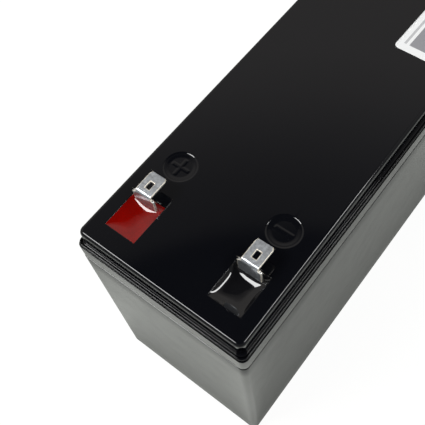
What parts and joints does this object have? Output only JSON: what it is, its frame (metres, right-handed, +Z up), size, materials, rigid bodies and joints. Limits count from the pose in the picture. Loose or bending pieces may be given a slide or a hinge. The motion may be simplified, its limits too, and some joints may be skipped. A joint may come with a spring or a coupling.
{
  "type": "lithium iron phosphate battery",
  "caption": "Sealed block battery in a black moulded case with a raised glossy lid and bent tab terminals standing in potted pockets.",
  "frame": {"origin": "centre of the underside of the case, where the battery stands", "axes": "+Z up, +Y along the length away from the terminals, positive terminal at -X and negative terminal at +X"},
  "size_m": [0.065, 0.151, 0.0997],
  "materials": {
    "case": "moulded, satin to gloss black",
    "lid": "moulded, gloss black",
    "label": "coated white paper",
    "tab": "tin plated brass, brushed",
    "potting_red": "cast resin, glossy",
    "potting_black": "cast resin, glossy",
    "cell_sleeve": "shrunk plastic sleeve",
    "holder": "moulded",
    "nickel": "nickel strip",
    "foam": "closed cell foam",
    "sheet": "pressed insulating paper",
    "tape": "soft foam tape",
    "board": "glass epoxy board with solder mask",
    "chip": "moulded epoxy",
    "shunt": "resistance alloy",
    "resistor": "ceramic chip",
    "connector": "moulded nylon",
    "lead_red": "silicone insulation",
    "lead_black": "silicone insulation",
    "wire": "plastic insulation"
  },
  "bodies": {
    "root": {"case": "case", "lid": "lid", "label": "label", "terminal_positive": "tab", "terminal_negative": "tab", "potting_positive": "potting_red", "potting_negative": "potting_black", "cell_1": "cell_sleeve", "cell_2": "cell_sleeve", "cell_3": "cell_sleeve", "cell_4": "cell_sleeve", "cell_5": "cell_sleeve", "cell_6": "cell_sleeve", "cell_7": "cell_sleeve", "cell_8": "cell_sleeve", "holder_lower": "holder", "holder_upper": "holder", "link_positive": "nickel", "link_front": "nickel", "link_middle": "nickel", "link_rear": "nickel", "link_negative": "nickel", "base_pad": "foam", "side_pad_left": "foam", "side_pad_right": "foam", "front_pad": "foam", "rear_block": "foam", "top_pad_left": "foam", "top_pad_right": "foam", "insulating_sheet": "sheet", "board_tape": "tape", "protection_board": "board", "power_switch_1": "chip", "power_switch_2": "chip", "power_switch_3": "chip", "power_switch_4": "chip", "power_switch_5": "chip", "power_switch_6": "chip", "control_chip": "chip", "shunt_1": "shunt", "shunt_2": "shunt", "bleed_resistor_1": "resistor", "bleed_resistor_2": "resistor", "bleed_resistor_3": "resistor", "bleed_resistor_4": "resistor", "balance_socket": "connector", "balance_plug": "connector", "lead_positive": "lead_red", "lead_negative": "lead_black", "lead_pack": "lead_black", "balance_wire_1": "wire", "balance_wire_2": "wire", "balance_wire_3": "wire", "balance_wire_4": "wire", "balance_wire_5": "wire"}
  },
  "joints": []
}
